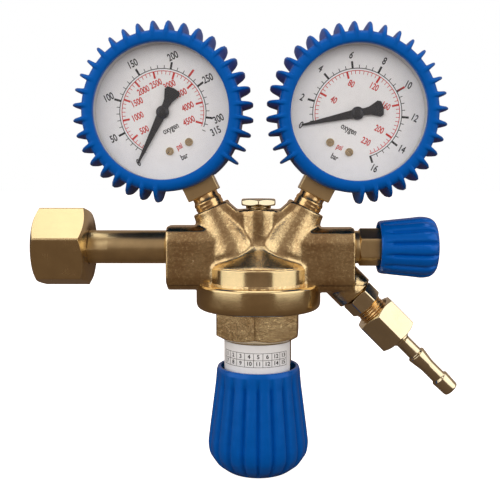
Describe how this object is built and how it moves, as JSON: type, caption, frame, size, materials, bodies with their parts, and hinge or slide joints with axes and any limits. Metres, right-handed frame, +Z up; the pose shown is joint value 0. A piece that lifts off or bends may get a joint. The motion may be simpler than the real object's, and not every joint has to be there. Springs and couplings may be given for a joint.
{
  "type": "gas regulator",
  "caption": "Single-stage cylinder regulator: forged brass body, two guarded dial gauges, adjusting knob, shut-off valve and angled hose tail.",
  "frame": {"origin": "centre of the inlet sealing face, where the inlet axis leaves the collar towards the cylinder valve", "axes": "+X along the inlet axis towards the body, +Z up along the body axis towards the gauges, front towards -Y"},
  "size_m": [0.1894, 0.056, 0.2003],
  "materials": {
    "forged_brass": "tumbled forging, satin with small bright specks",
    "turned_brass": "machined brass, fine turning lines",
    "pale_brass": "bright machined pale brass",
    "copper_brass": "warm copper-coloured thread and nipple",
    "steel": "plain machined steel",
    "blue_plastic": "semi-gloss moulded blue plastic",
    "blue_rubber": "satin blue rubber",
    "black_rubber": "black sealing rubber",
    "black_enamel": "satin black",
    "dial_white": "white printed dial",
    "label_paper": "white printed label",
    "clear_window": "clear window"
  },
  "bodies": {
    "root": {"body_forging": "forged_brass", "bonnet": "turned_brass", "serial_label": "label_paper", "diaphragm": "black_rubber", "slip_ring": "steel", "valve_capsule": "turned_brass", "adjusting_spring": "steel", "valve_spring": "steel", "relief_spring": "steel", "relief_cap": "pale_brass", "inlet_stem": "turned_brass", "inlet_o_ring": "black_rubber", "inlet_filter": "pale_brass", "outlet_valve_bonnet": "turned_brass", "spindle_o_ring": "black_rubber", "spindle_gland": "turned_brass", "outlet_nipple": "copper_brass", "nipple_gasket": "black_rubber", "high_socket": "turned_brass", "high_case": "steel", "high_window": "clear_window", "high_dial": "dial_white", "high_dial_screw_left": "turned_brass", "high_dial_screw_right": "turned_brass", "high_bourdon_tube": "copper_brass", "high_movement_frame": "pale_brass", "high_guard": "blue_rubber", "low_socket": "turned_brass", "low_case": "steel", "low_window": "clear_window", "low_dial": "dial_white", "low_dial_screw_left": "turned_brass", "low_dial_screw_right": "turned_brass", "low_bourdon_tube": "copper_brass", "low_movement_frame": "pale_brass", "low_guard": "blue_rubber"},
    "inlet_nut": {"inlet_nut": "turned_brass"},
    "spring_plate": {"spring_plate": "steel"},
    "adjusting_knob": {"adjusting_knob": "blue_plastic", "adjusting_screw": "steel"},
    "valve_train": {"valve_poppet": "black_rubber", "valve_pin": "steel", "diaphragm_plate": "steel", "upper_spring_seat": "steel"},
    "relief_poppet": {"relief_poppet": "turned_brass"},
    "outlet_pad": {"outlet_valve_pad": "black_rubber"},
    "outlet_knob": {"outlet_knob": "blue_plastic", "outlet_spindle": "steel"},
    "hose_tail": {"hose_tail": "pale_brass"},
    "hose_nut": {"hose_nut": "pale_brass"},
    "high_pointer": {"high_pointer": "black_enamel", "high_pinion": "turned_brass"},
    "high_sector": {"high_sector": "pale_brass"},
    "high_link": {"high_link": "steel"},
    "low_pointer": {"low_pointer": "black_enamel", "low_pinion": "turned_brass"},
    "low_sector": {"low_sector": "pale_brass"},
    "low_link": {"low_link": "steel"}
  },
  "joints": [
    {"name": "inlet_nut_spin", "type": "hinge", "parent": "root", "child": "inlet_nut", "pos_m": [0, 0, 0], "axis": [1, 0, 0], "continuous": true},
    {"name": "spring_plate_lift", "type": "slide", "parent": "root", "child": "spring_plate", "axis": [0, 0, 1], "range_m": [0, 0.00749], "deforming": ["adjusting_spring"]},
    {"name": "knob_turn", "type": "hinge", "parent": "spring_plate", "child": "adjusting_knob", "pos_m": [0.0855, 0, -0.05], "axis": [0, 0, 1], "range_deg": [0, 1800]},
    {"name": "valve_lift", "type": "slide", "parent": "root", "child": "valve_train", "axis": [0, 0, 1], "range_m": [0, 0.0008], "stiffness_N_per_m": 1500, "springref_m": -0.001, "deforming": ["valve_spring"]},
    {"name": "relief_lift", "type": "slide", "parent": "root", "child": "relief_poppet", "axis": [0, 0, 1], "range_m": [0, 0.0015], "stiffness_N_per_m": 2000, "springref_m": -0.001, "deforming": ["relief_spring"]},
    {"name": "outlet_pad_lift", "type": "slide", "parent": "root", "child": "outlet_pad", "axis": [1, 0, 0], "range_m": [0, 0.00199]},
    {"name": "outlet_knob_turn", "type": "hinge", "parent": "outlet_pad", "child": "outlet_knob", "pos_m": [0.1455, 0, 0], "axis": [1, 0, 0], "range_deg": [0, 720]},
    {"name": "hose_tail_slide", "type": "slide", "parent": "root", "child": "hose_tail", "axis": [0.7071, 0, -0.7071], "range_m": [0, 0.00534]},
    {"name": "hose_nut_turn", "type": "hinge", "parent": "hose_tail", "child": "hose_nut", "pos_m": [0.14366, 0, -0.03535], "axis": [0.7071, 0, -0.7071], "range_deg": [0, 1440]},
    {"name": "high_pointer_turn", "type": "hinge", "parent": "root", "child": "high_pointer", "pos_m": [0.0444, 0, 0.059], "axis": [0, 1, 0], "range_deg": [0, 262], "stiffness_Nm_per_rad": 0.0002},
    {"name": "high_sector_swing", "type": "hinge", "parent": "root", "child": "high_sector", "pos_m": [0.05062, 0, 0.04601], "axis": [0, 1, 0], "range_deg": [-34, 0]},
    {"name": "high_link_swing", "type": "hinge", "parent": "high_sector", "child": "high_link", "pos_m": [0.05745, 0, 0.0445], "axis": [0, 1, 0], "range_deg": [0, 39]},
    {"name": "low_pointer_turn", "type": "hinge", "parent": "root", "child": "low_pointer", "pos_m": [0.1278, 0, 0.0585], "axis": [0, 1, 0], "range_deg": [0, 263], "stiffness_Nm_per_rad": 0.0002},
    {"name": "low_sector_swing", "type": "hinge", "parent": "root", "child": "low_sector", "pos_m": [0.12122, 0, 0.04569], "axis": [0, 1, 0], "range_deg": [-34, 0]},
    {"name": "low_link_swing", "type": "hinge", "parent": "low_sector", "child": "low_link", "pos_m": [0.12415, 0, 0.03934], "axis": [0, 1, 0], "range_deg": [0, 39]}
  ],
  "couplings": [
    {"joint": "knob_turn", "follows": "spring_plate_lift", "rad_per_m": 4188.8},
    {"joint": "outlet_knob_turn", "follows": "outlet_pad_lift", "rad_per_m": 6283.2},
    {"joint": "hose_nut_turn", "follows": "hose_tail_slide", "rad_per_m": 4699.5},
    {"joint": "high_sector_swing", "follows": "high_pointer_turn", "ratio": -0.125},
    {"joint": "high_link_swing", "follows": "high_pointer_turn", "ratio": 0.1424},
    {"joint": "low_sector_swing", "follows": "low_pointer_turn", "ratio": -0.125},
    {"joint": "low_link_swing", "follows": "low_pointer_turn", "ratio": 0.1424}
  ]
}
